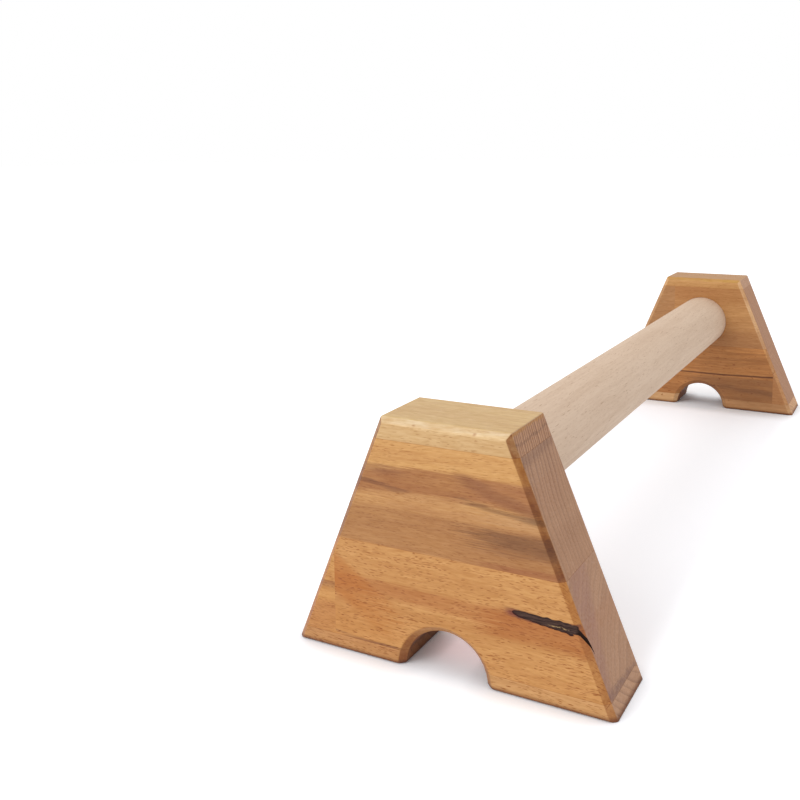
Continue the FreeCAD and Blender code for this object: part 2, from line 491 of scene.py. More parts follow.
def cross_grain_group():
    """How a face cuts the grain, which runs along X, and where it lies on the block."""
    inputs = sockets(VECTOR, "Normal", "Place") | sockets(FLOAT, "Arch", "Seed")
    outputs = sockets(FLOAT, "End", "Arris", "Ridge", "Upward", "Sawn", "Foot")
    bench, given, put = shader_group("Cross Grain", inputs, outputs)
    uneven_scale = (0.1, 0.3, 0.14)
    uneven_edge = (0.35, 0.65)
    end_turn = (0.74, 0.9)
    arris_turn = (0.3, 0.6)
    arris_top_turn = (0.45, 0.7)
    arris_top_loss = 0.6
    left_to_right = (-0.3, 0.3)
    top_turn = (0.8, 0.95)
    ridge_turn = (0.4, 0.65)
    arch_chamfer_edge = (3.6, 2.8)
    arch_chamfer_share = 0.33
    arch_edge = (0.6, 0.1)
    foot_shade_edge = (3.0, 0.6)
    facing = bench.split(given["Normal"])
    turn = bench.maths("ABSOLUTE", facing["X"])
    spot = bench.shift(bench.stretch(given["Place"], uneven_scale), bench.join(given["Seed"], 0.0, 0.0))
    uneven = bench.step(bench.noise(spot, detail=3.0), *uneven_edge)
    uneven = bench.graded(uneven, slope=0.6, base=0.4)

    # the slanted sides are end grain, and the chamfers beside them are partly so; their tint is partly that
    # end grain and partly painted light and shade
    end = bench.step(turn, *end_turn)
    arris = bench.times(bench.step(turn, *arris_turn), bench.rest(end))
    near_top = bench.times(bench.step(facing["Z"], *arris_top_turn), arris_top_loss)
    # the left chamfers take less of the chamfer tint than the right ones: painted light and shade
    right = bench.graded(bench.step(facing["X"], *left_to_right), slope=0.2, base=0.8)
    patchy = bench.graded(uneven, slope=0.5, base=0.5)
    bench.feed(put["End"], end)
    bench.feed(put["Arris"], bench.times(arris, bench.rest(near_top), patchy, right))

    # the top, and the chamfers along it, which take a painted sheen
    upward = bench.step(facing["Z"], *top_turn)
    ridge = bench.minus(bench.step(facing["Z"], *ridge_turn), upward)
    bench.feed(put["Upward"], upward)
    bench.feed(put["Ridge"], bench.times(ridge, uneven))

    # the arch with its chamfer, and the lowest edge of the feet, which takes a painted contact shade
    out = bench.vector("LENGTH", bench.stretch(given["Place"], (1.0, 0.0, 1.0)))
    beyond = bench.minus(out, given["Arch"])
    chamfer = bench.times(bench.step(beyond, *arch_chamfer_edge), arch_chamfer_share)
    # this mask also carries the arch tint, which is partly painted shade
    bench.feed(put["Sawn"], bench.maths("MAXIMUM", chamfer, bench.step(beyond, *arch_edge)))
    bench.feed(put["Foot"], bench.step(bench.split(given["Place"])["Z"], *foot_shade_edge))


def glue_line_group():
    """Thin lines where a stave meets its neighbours above and below."""
    inputs = {"Place": VECTOR} | sockets(FLOAT, "Low", "High", "Width")
    bench, given, put = shader_group("Glue Line", inputs, {"Line": FLOAT})
    height = bench.split(given["Place"])["Z"]
    lines = []
    for seam in ("Low", "High"):
        gap = bench.maths("ABSOLUTE", bench.minus(height, given[seam]))
        lines.append(bench.rest(bench.step(gap, 0.0, given["Width"])))
    bench.feed(put["Line"], bench.maths("MAXIMUM", *lines))


def make_effects():
    """All the groups, before the first material uses them."""
    log_space_group()
    growth_rings_group()
    ray_flecks_group()
    fibre_group()
    stain_band_group()
    cross_grain_group()
    glue_line_group()


# figure of each stave, in millimetres


@dataclass
class Stain:
    """One band of colour, placed by its height at the middle of the block: mostly heartwood, once a painted
    highlight.
    """

    level: float
    thickness: float
    colour: tuple
    strength: float = 0.6
    slope: float = 0.0
    bend: float = 0.0
    dip: float = 0.0
    upper: float = 1.5
    lower: float = 3.0
    start: float = -120.0
    end: float = 120.0
    run_out: float = 10.0
    wander: float = 2.0
    feather: float = 2.0
    patch: float = 0.25
    ends: float = 0.06


@dataclass
class Figure:
    """How one stave was sawn: its colours, where the pith lay from its near face, and its stains."""

    light: tuple
    deep: tuple
    pith_depth: float
    pith_height: float
    spacing: float = 3.0
    flecks: float = 0.5
    bold_flecks: float = 0.12
    bold_below: float = 60.0
    fleck_depth: float = 6.0
    end_rings: float = 0.55
    end_fade: float = 0.0
    ring_sharpness: float = 3.5
    # upward and ridge colour the faces and chamfers that look up: a painted sheen and light from above
    upward: tuple = ()
    ridge: tuple = (1.08, 1.08, 1.12)
    # arris tints the chamfers beside the end grain: partly end grain, partly painted light and shade
    arris: tuple = tone(212, 186, 156)
    end_tint: tuple = (1.0, 1.0, 1.0)
    seed: float = 0.0
    stains: list = field(default_factory=list)


def nick(level, colour, strength, start, end):
    """A short dark mark on the front edge of the top."""
    thickness = 0.2
    edges = {"run_out": 1.2, "upper": 0.6, "lower": 0.5, "feather": 0.8}
    return Stain(level, thickness, colour, strength, start=start, end=end, **edges)


# each stain begins with its level, thickness, colour and strength, and its order in the list sets its seed
FRONT_TOP_STAINS = [
    Stain(106, 0.4, tone(92, 62, 50), 0.0, dip=-0.03, upper=0.7, lower=0.7, wander=8, patch=0.3, ends=0.4),
    Stain(110, 1.4, tone(182, 130, 66), 0.0, upper=1, lower=1.4, wander=1.5, patch=0.4, ends=0.75),
    # a pale band along the foot of the top chamfer: a painted highlight, not heartwood
    Stain(
        107.6, 0.8, tone(238, 208, 160), 0.7,
        upper=0.5, lower=0.8, wander=3, feather=2.5, patch=0.8, ends=0,
    ),
    nick(108.2, tone(172, 112, 62), 0.6, start=-14.5, end=-12),
    nick(107.9, tone(166, 98, 50), 0.7, start=13.6, end=16),
]
FRONT_UPPER_STAINS = [
    Stain(66, 27, tone(187, 135, 86), 0.7, upper=3),
    Stain(71, 8, tone(212, 162, 102), 0.6, start=-80, end=-24, run_out=16, upper=3, feather=4),
    Stain(74.5, 4, tone(200, 154, 106), 0.6, start=14, run_out=14, feather=4),
    Stain(85.2, 7.5, tone(163, 105, 59), 0.9, slope=0.03, bend=-0.0014, upper=2, lower=4, feather=4),
    Stain(85.5, 7, tone(172, 116, 74), 0.6, start=4, run_out=12),
    Stain(91.7, 2.5, tone(140, 88, 54), 0.65, slope=-0.32, start=2, end=48, upper=2.5),
    Stain(87.6, 1.4, tone(148, 98, 62), 0.6, start=-60, end=-12, run_out=14, feather=1.5),
    Stain(
        77.1, 0.8, tone(132, 84, 50), 0.8,
        slope=-0.125, start=-45, end=-13, run_out=8, upper=0.5, lower=1.4,
    ),
    Stain(81.1, 0.8, tone(104, 68, 40), 0.6, slope=-0.125, start=4, end=60, run_out=14, upper=1, lower=1.6),
    Stain(61, 15, tone(164, 111, 63), 0.65, upper=5, lower=0.5),
    Stain(65, 8, tone(150, 101, 62), 0.65, start=8, end=90, run_out=16, feather=4),
    Stain(68, 3, tone(122, 80, 46), 0.65, slope=-0.03, start=8, end=70, run_out=14, feather=4),
    Stain(63.5, 2, tone(120, 78, 45), 0.55, start=16, run_out=14, feather=5),
    Stain(54, 2, tone(156, 92, 52), 0.6, start=10, run_out=16, lower=1),
    Stain(98.6, 1.5, tone(112, 80, 68), 0.0, dip=0.03, upper=2, lower=3, feather=3, ends=0.35),
]
FRONT_LOWER_STAINS = [
    Stain(33, 5, tone(176, 106, 50), 0.6, feather=4),
    Stain(4, 13, tone(186, 111, 38), 0.7, slope=-0.6, end=-14, run_out=30, upper=4, lower=6, ends=0),
    Stain(13, 10, tone(194, 130, 60), 0.5, end=-16, run_out=20, upper=8, lower=6),
    Stain(30.5, 8, tone(172, 98, 34), 0.68, start=10, end=80, run_out=16, upper=2, lower=4),
    Stain(
        38.5, 2.6, tone(116, 50, 40), 0.85,
        slope=-0.06, start=27, end=62, run_out=4, upper=1, lower=1, wander=0,
    ),
    Stain(
        38.3, 2, tone(58, 30, 28), 0.9,
        slope=-0.06, start=31.5, end=59, run_out=3, upper=0.8, lower=0.8, wander=0,
    ),
    Stain(6.8, 1.2, tone(122, 74, 54), 0.7, slope=-0.03, end=-16, upper=0.5, lower=1, wander=5, patch=0.9),
    Stain(18, 28, tone(150, 106, 104), 0.0, dip=2.3, upper=14, lower=14, wander=6, feather=6, ends=0.36),
    Stain(9, 1, tone(104, 74, 74), 0.0, dip=-0.09, upper=3, lower=1.5, wander=4, feather=3, ends=0.55),
]
FRONT_LOWER_END_STAINS = [
    Stain(31.5, 0.6, tone(146, 92, 54), 0.7, slope=0.02, upper=0.5, lower=3.5, feather=1),
    Stain(25, 9, tone(190, 128, 72), 0.6, slope=0.18, upper=3, lower=4, feather=5),
]
REAR_UPPER_STAINS = [
    Stain(56, 10, tone(164, 112, 68), 0.8, slope=-0.06, upper=16, feather=5),
    Stain(99, 8, tone(174, 118, 66), 0.7, upper=0.5, lower=8, feather=3),
]
REAR_LOWER_STAINS = [
    Stain(15, 24, tone(150, 102, 61), 0.8, start=-20, run_out=30, upper=1.5, feather=1),
    Stain(29.2, 0.6, tone(90, 46, 18), 0.95, bend=0.0004, upper=0.5, lower=0.9, wander=1, feather=0.6),
    Stain(20, 1.5, tone(116, 74, 46), 0.6, slope=-0.05, start=5, feather=4),
]

FRONT_FIGURES = {
    "top_stave": Figure(
        light=tone(224, 190, 139),
        deep=tone(211, 172, 120),
        pith_depth=-60,
        pith_height=130,
        spacing=2.0,
        flecks=0.2,
        bold_flecks=0.08,
        fleck_depth=1.5,
        end_rings=1.0,
        ring_sharpness=1.2,
        upward=tone(241, 222, 171),
        ridge=(0.94, 0.9, 1.03),
        arris=tone(158, 106, 26),
        end_tint=(1.19, 1.15, 1.07),
        seed=3.1,
        stains=FRONT_TOP_STAINS,
    ),
    "upper_stave": Figure(
        light=tone(223, 174, 110),
        deep=tone(205, 152, 91),
        pith_depth=115,
        pith_height=62,
        spacing=3.2,
        flecks=0.25,
        end_rings=0.75,
        end_fade=0.5,
        ring_sharpness=2.4,
        arris=tone(184, 150, 80),
        seed=11.4,
        stains=FRONT_UPPER_STAINS,
    ),
    "lower_stave": Figure(
        light=tone(217, 164, 101),
        deep=tone(199, 143, 81),
        pith_depth=110,
        pith_height=-100,
        spacing=3.2,
        flecks=0.5,
        bold_flecks=0.2,
        bold_below=26,
        end_rings=0.3,
        arris=tone(224, 202, 160),
        seed=27.9,
        stains=FRONT_LOWER_STAINS,
    ),
    "lower_stave_end": Figure(
        light=tone(219, 165, 99),
        deep=tone(204, 146, 82),
        pith_depth=75,
        pith_height=-20,
        seed=35.2,
        stains=FRONT_LOWER_END_STAINS,
    ),
    "left_foot": Figure(
        light=tone(208, 156, 100),
        deep=tone(192, 138, 84),
        pith_depth=60,
        pith_height=60,
        spacing=3.5,
        seed=42.0,
    ),
    "right_foot": Figure(
        light=tone(215, 167, 111),
        deep=tone(200, 150, 95),
        pith_depth=60,
        pith_height=60,
        spacing=3.5,
        end_tint=(1.1, 1.12, 1.13),
        seed=43.0,
    ),
}


def rear_figure(light, deep, pith_depth, pith_height, **others):
    """A stave of the rear block, which has few flecks, browner end grain and paler chamfers, partly a painted
    highlight.
    """
    usual = {"flecks": 0.1, "bold_flecks": 0.0, "arris": (1.24, 1.4, 1.62), "end_tint": (1.0, 0.9, 0.79)}
    return Figure(light, deep, pith_depth, pith_height, **(usual | others))


REAR_FIGURES = {
    "top_stave": rear_figure(
        tone(212, 163, 104),
        tone(196, 147, 90),
        pith_depth=-120,
        pith_height=75,
        spacing=1.4,
        upward=tone(202, 157, 80),
        ridge=(0.92, 0.9, 0.86),
        arris=(1.25, 1.45, 2.1),
        end_tint=(1.2, 1.22, 1.24),
        seed=51.3,
    ),
    "upper_stave": rear_figure(
        tone(201, 152, 97),
        tone(184, 133, 82),
        pith_depth=-45,
        pith_height=66,
        arris=(1.38, 1.68, 2.4),
        seed=58.8,
        stains=REAR_UPPER_STAINS,
    ),
    "upper_stave_end": rear_figure(
        tone(187, 139, 91), tone(171, 123, 78), pith_depth=-35, pith_height=80, seed=63.2
    ),
    "lower_stave": rear_figure(
        tone(199, 138, 78),
        tone(158, 103, 54),
        pith_depth=-40,
        pith_height=90,
        spacing=3.2,
        seed=70.7,
        stains=REAR_LOWER_STAINS,
    ),
    "lower_stave_end": rear_figure(
        tone(185, 131, 82), tone(166, 113, 68), pith_depth=-35, pith_height=-20, seed=77.5
    ),
    "left_foot": rear_figure(
        tone(215, 174, 126), tone(197, 154, 109), pith_depth=-20, pith_height=-57, spacing=3.5, seed=84.0
    ),
    "right_foot": rear_figure(
        tone(196, 147, 100),
        tone(176, 129, 85),
        pith_depth=-20,
        pith_height=-57,
        spacing=3.5,
        end_tint=(1.48, 1.52, 1.34),
        seed=85.0,
    ),
}


# materials


# how far the seed of bold flecks lies from that of fine ones
BOLD_SEED = 5


def new_material(name):
    """A material with its bench, its Principled shader and the piece's own coordinates."""
    material = bpy.data.materials.new(name)
    material.use_nodes = True
    bench = NodeBench(material.node_tree)
    shader = material.node_tree.nodes["Principled BSDF"]
    return material, bench, shader, bench.node("ShaderNodeTexCoord").outputs


def add_bump(bench, shader, height, strength, distance):
    """Fine relief that follows a height."""
    bump = bench.node("ShaderNodeBump", {"Height": height, "Strength": strength, "Distance": distance})
    bench.feed(shader.inputs["Normal"], bump.outputs[0])


def add_stains(bench, colour, place, figure, face, crossing):
    """Lay a stave's stains over a colour, each with its own strength along the grain and across it."""
    for number, stain in enumerate(figure.stains):
        shape = {label_of(name): getattr(stain, name) for name in STAIN_SHAPE}
        shape |= {"Half": stain.thickness / 2, "Seed": figure.seed + number}
        band = bench.group("Stain Band", Place=place, Face=face, **shape)
        strength = bench.graded(crossing, stain.ends - stain.strength, stain.strength)
        colour = bench.blend(bench.times(band["Stain"], strength), colour, stain.colour)
    return colour


def ray_flecks(bench, log, depth, size, share, seed):
    """Flecks of one length and width in millimetres."""
    length, width = size
    made = bench.group("Ray Flecks", Log=log, Length=length, Width=width, Depth=depth, Share=share, Seed=seed)
    return made["Fleck"]


def stave_flecks(bench, figure, log, height, cross):
    """Fine flecks all over a stave's long grain, and bold ones that thin out above a height."""
    fine_size = (3.1, 0.34)
    fine_strength = 0.62
    bold_size = (3.6, 0.42)
    bold_fade = 12
    bold_high = 0.3
    bold_low = 0.9
    top_wear = 0.7
    arch_wear = 2.0
    fine = ray_flecks(bench, log, figure.fleck_depth, fine_size, figure.flecks, figure.seed)
    bold = ray_flecks(bench, log, figure.fleck_depth, bold_size, figure.bold_flecks, figure.seed + BOLD_SEED)
    below = bench.step(height, figure.bold_below + bold_fade, figure.bold_below - bold_fade)
    bold = bench.times(bold, bench.graded(below, bold_low - bold_high, bold_high))
    flecks = bench.maths("MAXIMUM", bench.times(fine, fine_strength), bold)
    flecks = bench.times(flecks, bench.rest(cross["End"]))
    worn = bench.times(bench.plus(cross["Upward"], cross["Ridge"]), top_wear)
    worn = bench.maths("ADD", worn, bench.times(cross["Sawn"], arch_wear), clamp=True)
    return bench.times(flecks, bench.rest(worn))


def stave_ends(bench, figure, wood, rings, rise):
    """End grain with its rings, whose lines may fade towards the bottom of the stave."""
    ends = bench.blend(rings["Shade"], wood.end_grain, wood.end_deep)
    lost = bench.times(bench.rest(rise), figure.end_fade * figure.end_rings)
    ends = bench.blend(bench.times(rings["Line"], bench.minus(figure.end_rings, lost)), ends, wood.end_ring)
    return bench.blend(1.0, ends, figure.end_tint, "MULTIPLY")


def stave_wood(name, figure, face_y, low, high, arch):
    """Oiled beech for one stave, cut from its own place in the log."""
    wood = bpy.context.scene.parallette_wood
    material, bench, shader, given = new_material(name)
    face = face_y / MM
    seed = figure.seed
    log = bench.group(
        "Log Space",
        Position=given["Object"],
        Pith=(0.0, face + figure.pith_depth, figure.pith_height),
        Lean=(0.0, 0.02, 0.02),
        Girth=abs(figure.pith_depth),
        Wave=6.0,
        Seed=seed,
    )
    place = log["Place"]
    log = log["Log"]
    height = bench.split(place)["Z"]
    rings = bench.group(
        "Growth Rings",
        Log=log,
        Spacing=figure.spacing,
        Unrest=2.5,
        Sharpness=figure.ring_sharpness,
        Seed=seed,
    )
    fibre = bench.group("Fibre", Log=log, Seed=seed)
    cross = bench.group("Cross Grain", Normal=given["Normal"], Place=place, Arch=arch / MM, Seed=seed)
    seams = bench.group("Glue Line", Place=place, Low=low / MM, High=high / MM, Width=0.25)
    flecks = stave_flecks(bench, figure, log, height, cross)

    # the wood itself: streaks and rings, end grain and heartwood, and a painted sheen and light from above on
    # the top
    late_strength = 0.12
    pale_streak = 0.5
    arris_crossing = 0.2
    colour = bench.blend(fibre["Streak"], figure.light, figure.deep)
    colour = bench.blend(bench.times(rings["Late"], late_strength), colour, figure.deep, "MULTIPLY")
    # painted sheen and light from above on the faces and chamfers that look up
    if figure.upward:
        pale = bench.blend(bench.times(fibre["Streak"], pale_streak), figure.upward, figure.deep)
        colour = bench.blend(bench.plus(cross["Upward"], cross["Ridge"]), colour, pale)
        colour = bench.blend(cross["Ridge"], colour, figure.ridge, "MULTIPLY")
    rise = bench.step(height, low / MM, high / MM)
    colour = bench.blend(cross["End"], colour, stave_ends(bench, figure, wood, rings, rise))
    crossing = bench.graded(cross["Arris"], arris_crossing, cross["End"])
    colour = add_stains(bench, colour, place, figure, face, crossing)

    # tints that lie over it
    grain_strength = 0.45
    grain = bench.times(bench.plus(fibre["Mottle"], fibre["Fibre"]), grain_strength)
    tints = (
        (grain, wood.mottle),
        (flecks, wood.fleck),
        # partly end grain, partly painted light and shade on the chamfers
        (cross["Arris"], figure.arris),
        # partly oil in the sawn arch, partly painted shade inside it
        (cross["Sawn"], wood.sawn),
        # painted contact shade along the lowest edge of the feet
        (cross["Foot"], wood.foot),
        (seams["Line"], wood.glue),
    )
    for mask, tint in tints:
        colour = bench.blend(mask, colour, tint, "MULTIPLY")
    bench.feed(shader.inputs["Base Color"], colour)

    # an oiled finish, duller on end grain
    oiled = 0.42
    end_dulling = 0.2
    fibre_dulling = 0.1
    fibre_height = 0.4
    rough = bench.graded(cross["End"], end_dulling, oiled)
    rough = bench.graded(fibre["Fibre"], fibre_dulling, rough)
    bench.feed(shader.inputs["Roughness"], rough)
    shader.inputs["Specular IOR Level"].default_value = 0.4
    relief = bench.minus(bench.times(fibre["Fibre"], fibre_height), flecks)
    add_bump(bench, shader, relief, strength=0.3, distance=0.12 * MM)
    return material


def bark_rind():
    """Dark rough bark that has grown into the wood, in layers along the grain, with a painted glint low down.
    """
    material, bench, shader, given = new_material("bark_pocket")
    layer_scale = (0.12, 1.4, 1.8)
    layer_edge = (0.35, 0.65)
    crumb_scale = (1.1, 1.6, 2.4)
    rim_depth = (0.15, 0.6)
    glint_slope = 0.07
    glint_low = (37.3, 37.5)
    glint_high = (37.9, 37.7)
    glint_start = (45.5, 48.5)
    glint_end = (55.5, 54.0)
    glint_grain = (0.44, 0.52)
    glint_strength = 0.55
    crack_start = (57.6, 59.2)
    place = bench.stretch(given["Object"], PER_MM)
    at = bench.split(place)
    layers = bench.noise(bench.stretch(place, layer_scale), detail=4.0)
    crumbs = bench.noise(bench.stretch(place, crumb_scale), detail=4.0)
    deep = bench.step(bench.minus(at["Y"], CAD_BOX[0].y / MM), *rim_depth)
    colour = bench.blend(bench.step(layers, *layer_edge), tone(52, 36, 33), tone(86, 64, 56))
    colour = bench.blend(deep, tone(58, 27, 28), colour)

    # the glint, a painted highlight, lies in a thin band along the pocket, and the crack past the pocket's
    # end is darker
    drop = bench.graded(at["X"], glint_slope, at["Z"])
    band = bench.times(bench.step(drop, *glint_low), bench.step(drop, *glint_high))
    spell = bench.times(bench.step(at["X"], *glint_start), bench.step(at["X"], *glint_end))
    glint = bench.times(band, spell, bench.step(crumbs, *glint_grain), glint_strength)
    colour = bench.blend(glint, colour, tone(214, 180, 124))
    colour = bench.blend(bench.step(at["X"], *crack_start), colour, tone(40, 24, 19))
    bench.feed(shader.inputs["Base Color"], colour)
    shader.inputs["Roughness"].default_value = 0.8
    shader.inputs["Specular IOR Level"].default_value = 0.2
    add_bump(bench, shader, bench.plus(layers, crumbs), strength=0.5, distance=0.3 * MM)
    return material


def bar_wood():
    """Raw sanded beech, with its grain along the bar."""
    bar = bpy.context.scene.parallette_bar
    material, bench, shader, given = new_material("grip_bar_wood")
    seed = 91.0
    fleck_depth = 2.5
    fine_size = (4.2, 0.6)
    fine_share = 0.45
    fine_strength = 0.26
    bold_size = (7.0, 0.6)
    bold_share = 0.06
    bold_strength = 0.65
    late_strength = 0.15
    mottle_strength = 0.5
    fibre_height = 0.5
    fleck_sink = 0.6
    at = bench.split(given["Object"])
    log = bench.group(
        "Log Space",
        Position=bench.join(at["Y"], at["X"], at["Z"]),
        Pith=(0.0, -60.0, 40.0),
        Lean=(0.0, 0.01, 0.005),
        Girth=80.0,
        Wave=5.0,
        Seed=seed,
    )["Log"]
    rings = bench.group("Growth Rings", Log=log, Spacing=3.4, Unrest=3.0, Sharpness=3.0, Seed=seed)
    fine = ray_flecks(bench, log, fleck_depth, fine_size, fine_share, seed)
    bold = ray_flecks(bench, log, fleck_depth, bold_size, bold_share, seed + BOLD_SEED)
    flecks = bench.maths("MAXIMUM", bench.times(fine, fine_strength), bench.times(bold, bold_strength))
    fibre = bench.group("Fibre", Log=log, Seed=seed)
    colour = bench.blend(fibre["Streak"], bar.light, bar.deep)
    colour = bench.blend(bench.times(rings["Late"], late_strength), colour, bar.deep)
    colour = bench.blend(bench.times(fibre["Mottle"], mottle_strength), colour, bar.mottle, "MULTIPLY")
    colour = bench.blend(flecks, colour, bar.fleck, "MULTIPLY")
    bench.feed(shader.inputs["Base Color"], colour)
    bench.feed(shader.inputs["Roughness"], bench.graded(fibre["Fibre"], slope=0.16, base=0.68))
    shader.inputs["Specular IOR Level"].default_value = 0.25
    relief = bench.minus(bench.times(fibre["Fibre"], fibre_height), bench.times(flecks, fleck_sink))
    add_bump(bench, shader, relief, strength=0.4, distance=0.15 * MM)
    return material


def screw_steel():
    """Passivated steel with a faint turned grain."""
    screw = bpy.context.scene.parallette_screw
    material, bench, shader, given = new_material("screw_steel")
    grain_scale = (900.0, 900.0, 4000.0)
    grain = bench.noise(bench.stretch(given["Object"], grain_scale))
    bench.feed(shader.inputs["Base Color"], bench.blend(grain, screw.steel, screw.steel_deep))
    bench.feed(shader.inputs["Roughness"], bench.graded(grain, slope=0.2, base=0.25))
    shader.inputs["Metallic"].default_value = 1.0
    return material


# meshes


def link(data, name):
    """A new object at the origin."""
    thing = bpy.data.objects.new(name, data)
    bpy.context.scene.collection.objects.link(thing)
    return thing


def piece_from(bm, name, material=None):
    """A piece, or a tool to cut with, from a bmesh that is used up."""
    mesh = bpy.data.meshes.new(name)
    bm.to_mesh(mesh)
    bm.free()
    if material:
        mesh.materials.append(material)
    return link(mesh, name)


def settle(piece):
    """Turn a piece with modifiers into a plain mesh."""
    graph = bpy.context.evaluated_depsgraph_get()
    shaped = piece.evaluated_get(graph)
    mesh = bpy.data.meshes.new_from_object(shaped, preserve_all_data_layers=True, depsgraph=graph)
    piece.modifiers.clear()
    old = piece.data
    piece.data = mesh
    bpy.data.meshes.remove(old)


def remove(piece):
    """Delete an object with its mesh."""
    mesh = piece.data
    bpy.data.objects.remove(piece)
    bpy.data.meshes.remove(mesh)


def cut(piece, tool, operation="DIFFERENCE"):
    """Take a tool's shape out of a piece, or keep only what they share."""
    modifier = piece.modifiers.new("Cut", "BOOLEAN")
    modifier.operation = operation
    modifier.solver = "EXACT"
    modifier.material_mode = "TRANSFER"
    modifier.object = tool
    settle(piece)
    remove(tool)


def weld(piece):
    """Close up the slivers that a cut leaves where it passes close by a point."""
    bm = bmesh.new()
    bm.from_mesh(piece.data)
    bmesh.ops.dissolve_degenerate(bm, dist=WELD, edges=bm.edges)
    bm.to_mesh(piece.data)
    bm.free()


def smooth(piece, angle):
    """Smooth shading that keeps flat faces flat, and edges sharper than an angle hard."""
    piece.data.shade_smooth()
    piece.data.set_sharp_from_angle(angle=angle)
    modifier = piece.modifiers.new("Weighted normals", "WEIGHTED_NORMAL")
    modifier.keep_sharp = True
    settle(piece)


def finish_piece(piece, node, hard_angle=math.radians(40)):
    """Clean and shade a piece, and put it in the place of its CAD node."""
    weld(piece)
    smooth(piece, hard_angle)
    if not piece.data.polygons:
        raise RuntimeError(piece.name + " came out empty")
    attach(piece, "root")
    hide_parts(node)


def soften(before, corner, after, reach, steps):
    """Points of the small curve that takes the sharpness off one corner."""
    start = corner + (before - corner).normalized() * reach
    end = corner + (after - corner).normalized() * reach
    points = []
    for number in range(steps + 1):
        share = number / steps
        points.append(start.lerp(corner, share).lerp(corner.lerp(end, share), share))
    return points


def chamfer_inset(depth, chamfer, soft):
    """How far a chamfer with both its edges rounded draws an outline in, at a depth below the face."""
    bend = soft / math.sqrt(2)
    if depth < bend:
        share = math.sqrt(depth / bend)
        start = chamfer + soft * (1 - share)
        return start + (chamfer - bend * share - start) * share
    if depth < chamfer - bend:
        return chamfer - depth
    rest = soft - bend
    share = (math.sqrt(bend * bend + rest * (depth - chamfer + bend)) - bend) / rest
    return bend * max(0.0, 1 - share) ** 2


def chamfer_depths(chamfers, soft, steps):
    """The depths where the outline bends, for chamfers of several widths, none closer than a hair."""
    hair = 0.02 * MM
    bend = soft / math.sqrt(2)
    shares = [number / steps for number in range(steps + 1)]
    wanted = [bend * share ** 2 for share in shares]
    for chamfer in chamfers:
        wanted += [chamfer - bend + 2 * bend * share + (soft - bend) * share ** 2 for share in shares]
    depths = []
    for depth in sorted(wanted):
        if not depths or depth - depths[-1] > hair:
            depths.append(depth)
    return depths


def loft(loops):
    """A closed bmesh through loops of points that all have the same count."""
    bm = bmesh.new()
    rows = [[bm.verts.new(point) for point in loop] for loop in loops]
    for near, far in zip(rows, rows[1:]):
        for number in range(len(near)):
            following = (number + 1) % len(near)
            bm.faces.new((near[number], near[following], far[following], far[number]))
    bm.faces.new(rows[0])
    bm.faces.new(rows[-1])
    bmesh.ops.recalc_face_normals(bm, faces=bm.faces)
    return bm


def lathe(profile, centre, axis, steps):
    """A turned solid: profile holds (distance along the axis, radius) pairs."""
    turn = axis.to_track_quat("Z", "Y").to_matrix()
    loops = []
    for distance, radius in profile:
        ring = []
        for number in range(steps):
            angle = 2 * math.pi * number / steps
            spot = Vector((radius * math.cos(angle), radius * math.sin(angle), distance))
            ring.append(centre + turn @ spot)
        loops.append(ring)
    return loft(loops)


def keep_side(bm, point, direction):
    """Saw a closed bmesh along a plane, keep the side that the direction points to and close the cut."""
    if all((vert.co - point).dot(direction) > -WELD for vert in bm.verts):
        return
    whole = bm.verts[:] + bm.edges[:] + bm.faces[:]
    bmesh.ops.bisect_plane(bm, geom=whole, plane_co=point, plane_no=direction, clear_inner=True)
    bmesh.ops.edgeloop_fill(bm, edges=[edge for edge in bm.edges if edge.is_boundary])
    bmesh.ops.recalc_face_normals(bm, faces=bm.faces)


# end blocks


class BlockPlan:
    """Where one end block lies and how it is divided, read from its nodes in the frame."""

    def __init__(self, name):
        self.name = name
        top_low, top_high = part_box(name + "_top_stave")
        foot_low, foot_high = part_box(name + "_left_foot")
        self.y_low = top_low.y
        self.y_high = top_high.y
        self.height = top_high.z
        self.base_half = -foot_low.x
        self.lean = (self.base_half - top_high.x) / top_low.z
        self.arch_radius = math.hypot(foot_high.x, foot_high.z)
        self.front = self.y_low < 0

    def outline(self, depth, settings):
        """The block's outline at a depth below either face, as (x, z) pairs."""
        inset = chamfer_inset(depth, settings.edge_chamfer, settings.soft_edge)
        foot = chamfer_inset(depth, settings.foot_chamfer, settings.soft_edge)
        arch = self.arch_radius + chamfer_inset(depth, settings.arch_chamfer, settings.soft_edge)
        top = self.height - inset
        slant = inset * math.hypot(1, self.lean)
        low = Vector((self.base_half - self.lean * foot - slant, foot))
        high = Vector((self.base_half - self.lean * top - slant, top))
        spring = Vector((math.sqrt(arch * arch - foot * foot), foot))
        clear = 1.1 * settings.spring_soft
        arc_start = math.asin(foot / arch) + clear / arch
        sweep = math.pi - 2 * arc_start
        arc = []
        for number in range(settings.arch_steps + 1):
            angle = math.pi - arc_start - sweep * number / settings.arch_steps
            arc.append(Vector((arch * math.cos(angle), arch * math.sin(angle))))
        mirror = Vector((-1, 1))
        corners = [arc[-1], spring, low, high, high * mirror, low * mirror, spring * mirror, arc[0]]
        soft = settings.soft_edge
        reaches = [settings.spring_soft, soft, soft, soft, soft, settings.spring_soft]
        points = []
        for before, corner, after, reach in zip(corners, corners[1:], corners[2:], reaches):
            points += soften(before, corner, after, reach, settings.soft_steps)
        return points + arc

    def blank(self, settings):
        """The whole block as one closed bmesh, before it is divided."""
        chamfers = (settings.foot_chamfer, settings.edge_chamfer, settings.arch_chamfer)
        depths = chamfer_depths(chamfers, settings.soft_edge, settings.soft_steps)
        rings = [(self.y_low + depth, depth) for depth in depths]
        rings += [(self.y_high - depth, depth) for depth in reversed(depths)]
        return loft([[(x, y, z) for x, z in self.outline(depth, settings)] for y, depth in rings])


